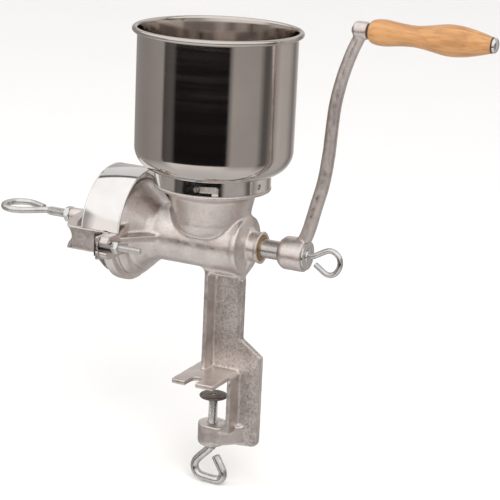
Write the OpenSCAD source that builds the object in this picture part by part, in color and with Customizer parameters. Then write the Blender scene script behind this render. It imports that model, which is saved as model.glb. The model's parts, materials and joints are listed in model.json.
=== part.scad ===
// Hand-cranked grain mill that clamps to a table edge.
// Origin: the underside of the table seat, on the axis of the table screw. +Z is up and +X points
// to the crank. The barrel lies along X, and the hopper stands over it.

/* [Body] */
// Height of the barrel's axis over the table seat
barrel_z = 118.5; // [112:0.5:125]
// Outer radius of the barrel
barrel_r = 24.5; // [24:0.5:26]
// Radius of the feed bore through the barrel
feed_r = 19.5; // [19:0.5:20]
// Radius of the burr flange
flange_r = 47; // [46:0.5:47]
// Outer radius of the rear bearing
bearing_r = 12.8; // [12.5:0.1:13.5]
// Distance of the hopper's axis from the table screw's axis, toward the burrs
hopper_back = 9; // [8:0.5:10]

/* [Hopper] */
// Outer radius of the bowl's wall
bowl_r = 66.7; // [64:0.1:70]
// Height of the rim over the barrel's axis
rim_h = 179.7; // [170:0.1:190]
// Radius of the rolled rim
bead_r = 2.4; // [2:0.1:3]
// Thickness of the bowl's sheet
sheet_t = 0.9; // [0.8:0.1:1.2]
// Outer radius of the neck ring
ring_r = 49.1; // [49:0.1:50]

/* [Shaft] */
// Radius of the shaft in its bush
shaft_r = 8; // [8:0.1:8]
// Running clearance of every bearing, thread and pin
run_gap = 0.05; // [0.02:0.01:0.1]
// Gap between the two burrs as the mill is set
burr_gap = 0.4; // [0.3:0.1:0.6]
// Outer radius of both burrs
burr_r = 42; // [40:0.5:43]

/* [Guard and bridge] */
// Outer radius of the half-round guard
guard_r = 52; // [52:0.1:52.5]
// Distance of each clamp screw from the barrel's axis
bolt_y = 59.5; // [59:0.5:62]
// Half of the length of a clamp screw's T head
tee_half = 10; // [9:0.5:10]

/* [Crank] */
// Radius of the crank's hub
hub_r = 14; // [13:0.5:15]
// Throw of the crank, from the shaft's axis to the grip's axis
throw = 191; // [191:1:191]
// Radius of the grip at its widest
grip_r = 12.5; // [12:0.1:13]

/* [Table clamp] */
// Thickness of the table seat
seat_t = 4.5; // [4:0.5:5]
// Length of the table seat, across the barrel
seat_w = 86; // [84:1:90]
// Width of the screw-down slot in each end of the seat
slot_w = 10; // [9:0.5:10.5]
// Radius of the table screw
table_screw_r = 4; // [4:0.1:4]
// Radius of the swivel pad
pad_r = 12.25; // [11:0.25:13]
// Depth of the pad's face below the seat, as the screw stands
pad_drop = 19.5; // [17:0.5:22]

/* [Hidden] */

$fn = 64;
// A cut runs this far past the face it opens
cut = 1;
hopper_x = -hopper_back;

// Places along the barrel, from the burr end to the crank end
flange_x = -89;
flange_back_x = -80;
ear_x = -77.5;
ear_t = 8.5;
cone_end_x = -58;
barrel_end_x = 27;
throat_low = 25.6;
bearing_end_x = 40.7;
feed_end_x = 16;
bush_r = 10.5;

// Burrs and driver
fixed_t = 4;
rotating_t = 4;
driver_t = 6;
driver_hub_l = 10;
driver_r = 38;
driver_hub_r = 14;
fixed_face_x = flange_x - fixed_t;
rotating_back_x = fixed_face_x - burr_gap - rotating_t;
driver_x = rotating_back_x - driver_t;
driver_hub_x = driver_x - driver_hub_l;
shaft_front_x = driver_hub_x - 4;
ball_r = 4.75;
ball_x = shaft_front_x - 1.5;
pin_r = 2.5;
pin_x = driver_x - 5;
burr_screw_r = 2;
fixed_screw_ring = 36;
rotating_screw_ring = 30;

// Bridge
arm_in_y = 47.4;
arm_out_y = 52.4;
arm_low = -14;
arm_high = 6;
bridge_foot_t = 3.2;
bow_r = 96;
bow_t = 9;
bow_hollow = 4.5;
bow_x = -39;
boss_x = -147;
boss_r = 6.5;
adjust_r = 4;
bolt_z = -3.2;
bolt_r = 3;
slot_half = bolt_r + 0.4;

// Crank
hub_x = 57.9;
hub_end_x = 81;
stub_r = 6.5;
stub_flat = 5;
crank_wire_r = 2.4;
spindle_r = 3;
head_x = 112;
head_t = 12;
head_r = 7.2;
grip_x = 125.2;
grip_l = 101;
arm_w = 10;

// Table clamp
boss_top = -45;
boss_low = -65.5;
clamp_boss_r = 12.5;
pad_t = 2.5;
wire_r = 3.65;

// Collar and neck, over the barrel's axis
collar_z = 45.5;
collar_top = 58;
collar_r = 47.4;
ring_low = 48.8;
ring_top = 60;
bowl_curve_r = 20;
bayonet_z = 54;
bayonet_r = 2.2;
bayonet_lock = -78;
bayonet_travel = 18;

// Points of an arc from angle a0 to a1, centred on c
function arc(c, r, a0, a1, n = 8) =
    [for (i = [0:n]) c + r * [cos(a0 + (a1 - a0) * i / n), sin(a0 + (a1 - a0) * i / n)]];

// Point of a cubic curve through four handles, at t from 0 to 1
function bend(a, b, c, d, t) =
    pow(1 - t, 3) * a + 3 * t * pow(1 - t, 2) * b + 3 * t * t * (1 - t) * c + pow(t, 3) * d;

// A rod along X at a given y and at a height over the barrel's axis
module x_rod(x0, x1, r, y = 0, z = 0, sides = 64) {
    translate([x0, y, barrel_z + z])
        rotate([0, 90, 0])
            cylinder(r = r, h = x1 - x0, $fn = sides);
}

// A turned shape round the barrel's axis, from its [radius, x] outline
module x_turned(points, z = 0) {
    translate([0, 0, barrel_z + z])
        rotate([0, 90, 0])
            rotate_extrude()
                polygon(points);
}

// A turned shape round the hopper's axis, from its [radius, height over the barrel's axis] outline
module hopper_turned(points) {
    translate([hopper_x, 0, barrel_z])
        rotate_extrude()
            polygon(points);
}

// A plate in the XZ plane, from y0 to y1
module xz_plate(points, y0, y1) {
    translate([0, y1, 0])
        rotate([90, 0, 0])
            linear_extrude(y1 - y0)
                polygon(points);
}

// Unit vector along v
function unit(v) = v / norm(v);

// A round wire bent through a list of points that lie in the plane with this normal
module wire(points, r, normal) {
    last = len(points) - 1;
    sides = 16;
    ahead = [for (i = [0:last]) unit(points[min(i + 1, last)] - points[max(i - 1, 0)])];
    rings = [for (i = [0:last], s = [0:sides - 1])
        points[i] + r * (cos(360 * s / sides) * cross(normal, ahead[i])
            + sin(360 * s / sides) * normal)];
    polyhedron(rings, concat([[for (s = [0:sides - 1]) s]],
        [[for (s = [sides - 1:-1:0]) last * sides + s]],
        [for (i = [0:last - 1], s = [0:sides - 1])
            let (n = (s + 1) % sides)
            [i * sides + s, (i + 1) * sides + s, (i + 1) * sides + n, i * sides + n]]));
}

// The front half and its mirror image behind
module both_sides() {
    children();
    mirror([0, 1, 0])
        children();
}

// Everything at the barrel: flange, cone, barrel and rear bearing
module barrel_shape() {
    x_turned([[0, flange_x], [flange_r, flange_x], [flange_r, flange_back_x], [44.5, -78.5],
        [42.5, -78.5], [41.5, -76.5], [43, -75.5], [40.5, -72.5], [27, cone_end_x],
        [barrel_r, -53], [barrel_r, 21], [barrel_r + 1, 22], [barrel_r + 1, 26],
        [barrel_r - 1, barrel_end_x], [bearing_r, 30], [bearing_r, 38], [14, 39],
        [14, bearing_end_x], [0, bearing_end_x]]);
}

// The throat: a round-bottomed funnel with the collar that carries the hopper
module funnel_shape() {
    hopper_turned(concat([[0, 6]], arc([18.6, 20], 14, -90, 0), [[36.6, 40], [46, collar_z],
        [49.6, collar_z], [49.6, 48.4], [collar_r, 48.4], [collar_r, collar_top],
        [0, collar_top]]));
}

// One ear of the body with its stiffening fin; the clamp screw lies in an open slot
module body_ear() {
    difference() {
        union() {
            xz_plate_ear();
            translate([0, 0, barrel_z - 3])
                linear_extrude(6)
                    polygon([[ear_x + 1, -38], [ear_x + 1, -52.5], [ear_x + ear_t, -52.5],
                        [-45, -23.5], [-58, -18]]);
        }
        x_rod(ear_x - cut, ear_x + ear_t + cut, slot_half, -bolt_y, bolt_z);
        translate([ear_x - cut, -bolt_y - 12, barrel_z + bolt_z - slot_half])
            cube([ear_t + 2 * cut, 12, 2 * slot_half]);
    }
}

// The upright plate of a body ear, with its outer corners cut back
module xz_plate_ear() {
    translate([ear_x, 0, barrel_z])
        rotate([90, 0, 90])
            linear_extrude(ear_t)
                polygon([[-36, arm_low], [-64, arm_low], [-70, arm_low + 4], [-70, 2],
                    [-66, arm_high], [-49.5, arm_high], [-36, 12]]);
}

// The leg: an angle section with a recessed front panel, under the barrel
module leg_shape() {
    translate([-8.5, -10, 0])
        cube([4, 20, barrel_z - 12]);
    translate([-8.5, 4, 0])
        cube([30.5, 6, barrel_z - 12]);
    translate([-8.5, 3, barrel_z - 30])
        cube([30.5, 2, 14]);
    translate([20, 3, 33])
        cube([2, 2, barrel_z - 50]);
    xz_plate([[-8.5, 90], [22, 90], [26, 100], [26, barrel_z - 10], [-16, barrel_z - 18]], -9, 10);
}

// The table seat: a plate with an open slot in each end
module seat_shape() {
    difference() {
        linear_extrude(seat_t)
            polygon([[20.5, -seat_w / 2], [20.5, seat_w / 2], [-19, seat_w / 2],
                [-19, -seat_w / 2]]);
        both_sides() {
            translate([-6.1, -seat_w / 2 - cut, -cut])
                cube([slot_w, 11 + cut, seat_t + 2 * cut]);
            translate([-6.1 + slot_w / 2, -seat_w / 2 + 11, -cut])
                cylinder(d = slot_w, h = seat_t + 2 * cut);
        }
    }
}

// The C clamp: back plate, inner flange, lower arm and the threaded boss
module clamp_shape() {
    xz_plate(concat([[18, 36], [22, 33], [41.5, 19.5]], arc([35.5, -56.5], 6, 0, -90),
        [[0, boss_low], [0, boss_top - 2], [18, boss_top]]), 4, 10);
    xz_plate(concat([[22, 2], [18, 2]], arc([10, boss_top + 8], 8, 0, -90),
        [[10, boss_top - 4], [22, boss_top - 4]]), -12, 5);
    translate([0, 0, boss_low + 4])
        linear_extrude(boss_top - boss_low - 4)
            polygon([[0, -clamp_boss_r], [12, -clamp_boss_r], [30, 5], [0, 10]]);
    translate([0, 0, boss_low])
        rotate_extrude()
            polygon(concat([[0, 0]], arc([clamp_boss_r - 4, 4], 4, -90, 0),
                [[clamp_boss_r, boss_top - boss_low], [0, boss_top - boss_low]]));
}

// Webs from the funnel down to the rear bearing and from the bearing down to the leg
module gussets() {
    xz_plate([[12, barrel_z + 20], [24.5, barrel_z + 24], [26, barrel_z + 20],
        [34, barrel_z + 11], [20, barrel_z + 5]], -4.5, 4.5);
    xz_plate([[15, barrel_z - 22], [22, barrel_z - 32], [26, barrel_z - 26],
        [34, barrel_z - 11], [20, barrel_z - 5]], -6, 6);
}

// The room that the throat takes up: the funnel above the barrel, and the collar
module throat_room() {
    translate([-52, -60, barrel_z + throat_low])
        cube([97, 120, 50]);
    translate([-62, -60, barrel_z + 38])
        cube([107, 120, 40]);
}

// The whole casting: flange, barrel, throat, ears, leg, seat and clamp
module casting_shape() {
    difference() {
        union() {
            barrel_shape();
            funnel_shape();
            both_sides()
                body_ear();
            leg_shape();
            seat_shape();
            clamp_shape();
            gussets();
        }
        x_rod(flange_x - cut, feed_end_x, feed_r);
        x_rod(feed_end_x - cut, bearing_end_x + cut, bush_r);
        hopper_turned([[0, 0], [16, 0], [16, 12], [28.5, 22], [32.5, 40], [43.4, 50],
            [43.4, collar_top + cut], [0, collar_top + cut]]);
        translate([0, 0, boss_low - cut])
            cylinder(r = table_screw_r + run_gap, h = boss_top - boss_low + 2 * cut);
        for (turn = [0:180:180])
            rotate_round_hopper(bayonet_lock + turn)
                cylinder(r = bayonet_r, h = 30);
        for (turn = [30:120:270])
            x_rod(flange_x - cut, flange_x + 6, burr_screw_r,
                fixed_screw_ring * cos(turn), fixed_screw_ring * sin(turn));
    }
}

// The seat's plate where it stands clear of the leg and the clamp
module seat_plate() {
    difference() {
        seat_shape();
        leg_shape();
        clamp_shape();
    }
}

module body_casting() color([0.77, 0.75, 0.72]) {
    difference() {
        casting_shape();
        throat_room();
        seat_plate();
    }
}

module throat_casting() color([0.77, 0.75, 0.72]) {
    intersection() {
        casting_shape();
        throat_room();
    }
}

module seat_casting() color([0.77, 0.75, 0.72])
    seat_plate();

// Places a rod's foot on the hopper's axis, pointing outward at an angle
module rotate_round_hopper(angle) {
    translate([hopper_x, 0, barrel_z + bayonet_z])
        rotate([0, 90, angle])
            translate([0, 0, 40])
                children();
}

module bearing_bush() color([0.66, 0.5, 0.3]) {
    difference() {
        x_rod(feed_end_x, bearing_end_x, bush_r);
        x_rod(feed_end_x - cut, bearing_end_x + cut, shaft_r + run_gap);
    }
}

module bayonet_pins() color([0.8, 0.8, 0.8]) {
    for (turn = [0:180:180])
        rotate_round_hopper(bayonet_lock + turn)
            translate([0, 0, 4])
                cylinder(r = bayonet_r, h = 6.8);
}

module hopper_bowl() color([0.62, 0.58, 0.55]) {
    bead_z = rim_h - bead_r;
    base = ring_top;
    curve = [bowl_r - bowl_curve_r, base + bowl_curve_r];
    hopper_turned(concat([[41, base]], arc(curve, bowl_curve_r, -90, 0),
        [[bowl_r, bead_z - bead_r]],
        arc([bowl_r + bead_r - sheet_t / 2, bead_z], bead_r, -90, 180, 14),
        [[bowl_r - sheet_t, bead_z - bead_r]],
        arc(curve, bowl_curve_r - sheet_t, 0, -90), [[41, base + sheet_t]]));
}

// The ring under the bowl; each bayonet slot enters from below and turns to one side
module hopper_neck_ring() color([0.75, 0.73, 0.71]) {
    slot_r = bayonet_r + 0.5;
    difference() {
        hopper_turned([[ring_r - 1.3, ring_low], [ring_r, ring_low], [ring_r, ring_top],
            [42, ring_top], [42, ring_top - 1.2], [ring_r - 1.3, ring_top - 1.2]]);
        for (side = [0:180:180]) {
            for (turn = [0:bayonet_travel / 6:bayonet_travel])
                rotate_round_hopper(bayonet_lock + side + turn)
                    cylinder(r = slot_r, h = 20);
            rotate_round_hopper(bayonet_lock + side + bayonet_travel)
                translate([0, -slot_r, 0])
                    cube([10, 2 * slot_r, 20]);
            rotate_round_hopper(-11 + side)
                cylinder(r = 2.5, h = 20);
        }
    }
}

// The shaft, with a flat on the end that carries the crank
module auger_shaft() color([0.7, 0.68, 0.65]) {
    difference() {
        union() {
            x_rod(shaft_front_x, hub_x, shaft_r);
            x_rod(hub_x - cut, hub_end_x - 1, stub_r);
        }
        translate([ball_x, 0, barrel_z])
            sphere(r = ball_r + run_gap);
        translate([hub_x, stub_flat, barrel_z - shaft_r])
            cube([hub_end_x - hub_x, shaft_r, 2 * shaft_r]);
        x_rod(hub_end_x - 19, hub_end_x, crank_wire_r + run_gap);
        translate([pin_x, -shaft_r - cut, barrel_z])
            rotate([-90, 0, 0])
                cylinder(r = pin_r, h = 2 * (shaft_r + cut));
    }
}

// The feed screw: one thick flight wound round the shaft, let 0.4 mm into it
module feed_screw() color([0.66, 0.64, 0.61]) {
    flight_l = 96;
    flight_turns = 3.25;
    translate([-84, 0, barrel_z])
        rotate([0, 90, 0])
            linear_extrude(flight_l, twist = 360 * flight_turns, slices = 78, $fn = 12)
                polygon(concat(arc([0, 0], feed_r - 0.9, -30, 30, 4),
                    arc([0, 0], shaft_r - 0.4, 30, -30, 3)));
}

// Ridges cut across a burr's face
module burr_furrows(x) {
    for (i = [0:17])
        translate([x, 0, barrel_z])
            rotate([i * 20, 0, 0])
                translate([-1, 3, 22])
                    cube([2, 2.4, 24]);
}

module fixed_burr() color([0.45, 0.44, 0.43]) {
    difference() {
        x_rod(fixed_face_x, flange_x, burr_r);
        x_rod(fixed_face_x - cut, flange_x + cut, feed_r);
        burr_furrows(fixed_face_x);
        for (turn = [30:120:270])
            x_turned_at([[0, fixed_face_x - cut], [3.9, fixed_face_x - cut],
                [3.9, fixed_face_x + 0.6], [burr_screw_r, fixed_face_x + 2.6],
                [burr_screw_r, flange_x + cut], [0, flange_x + cut]], fixed_screw_ring, turn);
    }
}

// A turned shape round an axis along X that lies off the barrel's axis
module x_turned_at(points, ring, turn) {
    translate([0, ring * cos(turn), ring * sin(turn)])
        x_turned(points);
}

module fixed_burr_screws() color([0.6, 0.6, 0.6]) {
    top = fixed_face_x + 0.6;
    for (turn = [30:120:270])
        difference() {
            x_turned_at([[0, top], [3.85, top], [burr_screw_r - run_gap, top + 2],
                [burr_screw_r - run_gap, flange_x + 5.5], [0, flange_x + 5.5]],
                fixed_screw_ring, turn);
            translate([top - cut, fixed_screw_ring * cos(turn) - 0.5,
                barrel_z + fixed_screw_ring * sin(turn) - 5])
                cube([1.8, 1, 10]);
        }
}

module rotating_burr() color([0.45, 0.44, 0.43]) {
    difference() {
        x_rod(rotating_back_x, rotating_back_x + rotating_t, burr_r);
        x_rod(rotating_back_x - cut, fixed_face_x, shaft_r + 0.2);
        burr_furrows(rotating_back_x + rotating_t);
        for (turn = [0:180:180])
            x_rod(rotating_back_x - cut, fixed_face_x, burr_screw_r,
                rotating_screw_ring * cos(turn), rotating_screw_ring * sin(turn));
    }
}

module rotating_burr_screws() color([0.6, 0.6, 0.6]) {
    for (turn = [0:180:180])
        difference() {
            x_turned_at([[0, driver_x - 2.4], [3.8, driver_x - 1.8], [3.8, driver_x],
                [burr_screw_r - run_gap, driver_x],
                [burr_screw_r - run_gap, rotating_back_x + rotating_t - 1.2],
                [0, rotating_back_x + rotating_t - 1.2]], rotating_screw_ring, turn);
            translate([driver_x - 3, rotating_screw_ring * cos(turn) - 0.5, barrel_z - 5])
                cube([1.8, 1, 10]);
        }
}

module burr_driver() color([0.6, 0.58, 0.56]) {
    difference() {
        union() {
            x_rod(driver_x, rotating_back_x, driver_r);
            x_turned([[0, driver_hub_x], [driver_hub_r - 1, driver_hub_x],
                [driver_hub_r, driver_hub_x + 1], [driver_hub_r, driver_x - 2],
                [driver_hub_r + 2, driver_x], [0, driver_x]]);
            for (turn = [45:90:315])
                translate([driver_x - 3, 0, barrel_z])
                    rotate([turn, 0, 0])
                        translate([0, -1.5, 10])
                            cube([4, 3, 26]);
        }
        x_rod(driver_hub_x - cut, rotating_back_x + cut, shaft_r);
        for (turn = [0:180:180])
            x_rod(driver_x - cut, rotating_back_x + cut, burr_screw_r,
                rotating_screw_ring * cos(turn), rotating_screw_ring * sin(turn));
        translate([pin_x, -driver_hub_r - 4, barrel_z])
            rotate([-90, 0, 0])
                cylinder(r = pin_r, h = 2 * driver_hub_r + 8);
    }
}

module driver_pin() color([0.7, 0.7, 0.7]) {
    translate([pin_x, -driver_hub_r - 1, barrel_z])
        rotate([-90, 0, 0])
            cylinder(r = pin_r, h = 2 * driver_hub_r + 2);
}

module thrust_ball() color([0.8, 0.8, 0.8]) {
    translate([ball_x, 0, barrel_z])
        sphere(r = ball_r);
}

// One arm of the bridge with the foot that its clamp screw presses on the body's ear
module bridge_arm() {
    tall = arm_high - arm_low;
    translate([-112, -arm_out_y, barrel_z + arm_low])
        cube([112 + ear_x, arm_out_y - arm_in_y, tall]);
    difference() {
        translate([ear_x - bridge_foot_t, -70, barrel_z + arm_low])
            cube([bridge_foot_t, 70 - arm_in_y, tall]);
        translate([ear_x - bridge_foot_t - cut, -bolt_y - 12, barrel_z + bolt_z - slot_half])
            cube([bridge_foot_t + 2 * cut, 12, 2 * slot_half]);
        x_rod(ear_x - bridge_foot_t - cut, ear_x + cut, slot_half, -bolt_y, bolt_z);
    }
}

// The bridge: a bowed bar with a hollow outer face, its two arms and the threaded boss
module bridge() color([0.74, 0.71, 0.68]) {
    mid = (arm_high + arm_low) / 2;
    half = (arm_high - arm_low) / 2;
    hollow_r = (half * half + bow_hollow * bow_hollow) / (2 * bow_hollow);
    spread = asin(half / hollow_r);
    difference() {
        union() {
            intersection() {
                translate([bow_x, 0, barrel_z])
                    rotate_extrude($fn = 96)
                        polygon(concat([[bow_r - bow_t, arm_low]],
                            arc([bow_r - bow_hollow + hollow_r, mid], hollow_r,
                                180 + spread, 180 - spread),
                            [[bow_r - bow_t, arm_high]]));
                translate([boss_x, -arm_out_y, barrel_z + arm_low])
                    cube([40, 2 * arm_out_y, 2 * half]);
            }
            both_sides()
                bridge_arm();
            x_rod(boss_x, bow_x - bow_r + bow_t - 2, boss_r);
        }
        x_rod(boss_x - cut, bow_x - bow_r + bow_t + cut, adjust_r + run_gap);
    }
}

// The adjusting screw and the loop its wire is bent into, which lies flat
module adjusting_screw() color([0.72, 0.72, 0.71]) {
    tip = ball_x - ball_r - run_gap;
    z = barrel_z;
    x_rod(-171, tip, adjust_r - run_gap);
    wire([[-166, 0, z], [-173, 0, z], [-177, -2.5, z], [-189, -12.5, z], [-196, -15.5, z],
        [-203, -15.5, z], [-210, -12, z], [-214, -6, z], [-215.5, 1, z], [-213, 8, z],
        [-207, 12.5, z], [-200, 14, z], [-194, 12.5, z], [-181, 7, z]], 2.9, [0, 0, 1]);
}

module adjusting_lock_nut() color([0.7, 0.7, 0.7]) {
    difference() {
        x_rod(boss_x - 5.2, boss_x - 0.2, 7.2, sides = 6);
        x_rod(boss_x - 6, boss_x + cut, adjust_r + run_gap);
    }
}

// The guard: a thin half cylinder whose lower edges sit on the bridge's arms
module guard() color([0.85, 0.84, 0.83]) {
    low = arm_high + 0.2;
    back_x = -69;
    front_x = -106;
    difference() {
        x_rod(front_x, back_x, guard_r);
        x_rod(front_x - cut, back_x + cut, guard_r - 1.2);
        translate([front_x - cut, -guard_r - cut, barrel_z - guard_r - cut])
            cube([back_x - front_x + 2 * cut, 2 * guard_r + 2 * cut, guard_r + low + cut]);
    }
    both_sides()
        translate([ear_x - 6, -guard_r - 3, barrel_z + low])
            cube([6, 5, 1.2]);
}

// A T head, which lies across the slot, on a threaded shank
module clamp_screw(side) {
    z = barrel_z + bolt_z;
    tee_w = 7;
    xz_plate([[-86.2, z - tee_half + 1], [-85.2, z - tee_half], [-81.4, z - tee_half],
        [-81.4, z + tee_half], [-85.2, z + tee_half], [-86.2, z + tee_half - 1]],
        side * bolt_y - tee_w / 2, side * bolt_y + tee_w / 2);
    x_turned_at([[0, -84], [bolt_r, -84], [bolt_r, -44], [bolt_r - 1, -43], [0, -43]],
        norm([bolt_y, bolt_z]), atan2(bolt_z, side * bolt_y));
}

module clamp_screw_front() color([0.22, 0.21, 0.2])
    clamp_screw(-1);

module clamp_screw_rear() color([0.22, 0.21, 0.2])
    clamp_screw(1);

module clamp_washer(side) {
    difference() {
        x_rod(-81.4, -80.7, 6.5, side * bolt_y, bolt_z);
        x_rod(-82, -80, bolt_r + run_gap, side * bolt_y, bolt_z);
    }
}

module clamp_washer_front() color([0.75, 0.75, 0.74])
    clamp_washer(-1);

module clamp_washer_rear() color([0.75, 0.75, 0.74])
    clamp_washer(1);

module clamp_nut(side) {
    nut_x = ear_x + ear_t;
    difference() {
        x_rod(nut_x + 0.1, nut_x + 6, 5.8, side * bolt_y, bolt_z, 6);
        x_rod(nut_x - cut, nut_x + 7, bolt_r + run_gap, side * bolt_y, bolt_z);
    }
}

module clamp_nut_front() color([0.78, 0.78, 0.77])
    clamp_nut(-1);

module clamp_nut_rear() color([0.78, 0.78, 0.77])
    clamp_nut(1);

// Middle line of the arm in the plane of X and the height over the barrel's axis
function arm_point(t) =
    t < 0.5 ? bend([74, 2], [88, 42], [97, 78], [97, 108], 2 * t)
            : bend([97, 108], [97, 134], [106, 160], [118, throw - 2], 2 * t - 1);
function arm_side(t) =
    let (step = arm_point(min(1, t + 0.01)) - arm_point(max(0, t - 0.01)))
    [step[1], -step[0]] / norm(step);
// Half of the arm's width, which narrows toward the grip
function arm_half(t) = 6 - t;

module crank_arm() color([0.76, 0.73, 0.71]) {
    ticks = [0:1 / 24:1];
    difference() {
        union() {
            x_turned([[0, hub_x], [11, hub_x], [hub_r, hub_x + 4], [hub_r, hub_end_x - 1],
                [hub_r - 1, hub_end_x], [0, hub_end_x]]);
            translate([0, 0, barrel_z])
                xz_plate(concat([for (t = ticks) arm_point(t) + arm_half(t) * arm_side(t)],
                    [for (t = ticks) arm_point(1 - t) - arm_half(1 - t) * arm_side(1 - t)]),
                    -arm_w / 2, arm_w / 2);
            x_turned([[0, head_x], [head_r - 1, head_x], [head_r, head_x + 1],
                [head_r, head_x + head_t - 1], [head_r - 1, head_x + head_t],
                [0, head_x + head_t]], throw);
        }
        difference() {
            x_rod(hub_x - cut, hub_end_x + cut, stub_r + run_gap);
            translate([hub_x - 2, stub_flat + run_gap, barrel_z - 10])
                cube([30, 10, 20]);
        }
        x_rod(head_x - cut, head_x + head_t + cut, spindle_r, 0, throw);
        x_rod(hub_end_x, hub_end_x + 10, 12.3);
    }
}

module crank_washer() color([0.75, 0.75, 0.74]) {
    difference() {
        x_rod(hub_end_x, hub_end_x + 1.4, 12);
        x_rod(hub_end_x - cut, hub_end_x + 2, crank_wire_r + run_gap);
    }
}

// The screw that holds the crank on, bent from wire into a loop
module crank_screw() color([0.75, 0.75, 0.74]) {
    x_rod(hub_end_x - 16, 88, crank_wire_r - 0.02);
    x_turned([[0, hub_end_x + 1.5], [6, hub_end_x + 1.5], [5, hub_end_x + 3.5],
        [0, hub_end_x + 3.5]]);
    z = barrel_z;
    wire([[86, 0, z], [88, 0, z + 1], [98, 0, z + 6.6], [101.5, 0, z + 7.7], [106, 0, z + 6.6],
        [109.6, 0, z + 3.5], [111.4, 0, z - 1], [111, 0, z - 5.5], [108.5, 0, z - 10],
        [104.5, 0, z - 12.8], [100, 0, z - 13], [97, 0, z - 11.5], [89.5, 0, z - 6.2]],
        crank_wire_r, [0, 1, 0]);
}

module grip_spindle() color([0.7, 0.7, 0.7]) {
    end_x = grip_x + grip_l + 1.3;
    x_turned([[0, head_x - 1.6], [3, head_x - 1.6], [4.5, head_x], [spindle_r, head_x],
        [spindle_r, end_x], [0, end_x]], throw);
}

module grip_washers() color([0.2, 0.18, 0.17]) {
    for (x = [head_x + head_t, grip_x + grip_l + 0.2])
        difference() {
            x_rod(x, x + 1, 6.2, 0, throw);
            x_rod(x - cut, x + 2, spindle_r, 0, throw);
        }
}

// The turned grip: a bulge at the arm, a waist, a belly and a slim outer end
module grip() color([0.8, 0.56, 0.28]) {
    half = grip_l / 2;
    waist = 8.4;
    difference() {
        x_turned(concat([[spindle_r + run_gap, grip_x], [7.5, grip_x]],
            arc([7.5, grip_x + 3.5], 3.5, -80, 0, 4) - [for (i = [0:4]) [0.5, 0]],
            [for (t = [0:0.125:1]) bend([10.5, grip_x + 8], [10.2, grip_x + 18],
                [waist - 0.8, grip_x + 22], [waist, grip_x + 34], t)],
            [for (t = [0.125:0.125:1]) bend([waist, grip_x + 34], [9.4, grip_x + half],
                [grip_r, grip_x + half + 3], [grip_r, grip_x + half + 16], t)],
            [for (t = [0.125:0.125:1]) bend([grip_r, grip_x + half + 16],
                [grip_r, grip_x + half + 30], [8.6, grip_x + grip_l - 12],
                [6.4, grip_x + grip_l], t)],
            [[spindle_r + run_gap, grip_x + grip_l]]), throw);
    }
}

module grip_cap() color([0.8, 0.8, 0.79]) {
    base = grip_x + grip_l + 1.2;
    difference() {
        x_turned(concat([[0, base], [6, base]],
            [for (a = [0:15:90]) [6 * cos(a), base + 1 + 2.6 * sin(a)]]), throw);
        x_rod(base - cut, base + 0.1, spindle_r, 0, throw);
    }
}

// The table screw and the triangular loop its rod is bent into
module table_screw() color([0.7, 0.69, 0.67]) {
    translate([0, 0, -70])
        cylinder(r = table_screw_r, h = 70 - pad_drop - pad_t - 0.3);
    translate([0, 0, -pad_drop - pad_t - 1])
        cylinder(r = 2, h = pad_t + 0.6);
    wire([[0, 0, -67], [-1.2, 0, -69], [-3.5, 0, -71.5], [-12.2, 0, -81], [-15, 0, -85],
        [-16, 0, -89.5], [-14.6, 0, -93.8], [-11.5, 0, -96.5], [-7, 0, -97.7], [5, 0, -98.3],
        [9, 0, -97.2], [11.7, 0, -94.3], [12.2, 0, -90.5], [10.5, 0, -86.8], [4.4, 0, -76.5]],
        wire_r, [0, 1, 0]);
}

module table_pad() color([0.42, 0.39, 0.37]) {
    difference() {
        translate([0, 0, -pad_drop - pad_t])
            rotate_extrude()
                polygon([[0, 0], [pad_r - 0.6, 0], [pad_r, 0.8], [pad_r, pad_t - 0.8],
                    [pad_r - 0.6, pad_t], [0, pad_t]]);
        translate([0, 0, -pad_drop - pad_t - cut])
            cylinder(r = 2 + run_gap, h = pad_t + 2 * cut);
    }
}

body_casting();
throat_casting();
seat_casting();
bearing_bush();
bayonet_pins();
hopper_bowl();
hopper_neck_ring();
auger_shaft();
feed_screw();
fixed_burr();
fixed_burr_screws();
rotating_burr();
rotating_burr_screws();
burr_driver();
driver_pin();
thrust_ball();
bridge();
adjusting_screw();
adjusting_lock_nut();
guard();
clamp_screw_front();
clamp_screw_rear();
clamp_washer_front();
clamp_washer_rear();
clamp_nut_front();
clamp_nut_rear();
crank_arm();
crank_washer();
crank_screw();
grip_spindle();
grip_washers();
grip();
grip_cap();
table_screw();
table_pad();
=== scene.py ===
"""Hand-cranked grain mill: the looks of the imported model. Lengths in the script are millimetres."""
import json
import math

import bmesh
import bpy
import numpy as np
from mathutils import Matrix, Vector, noise


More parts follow.
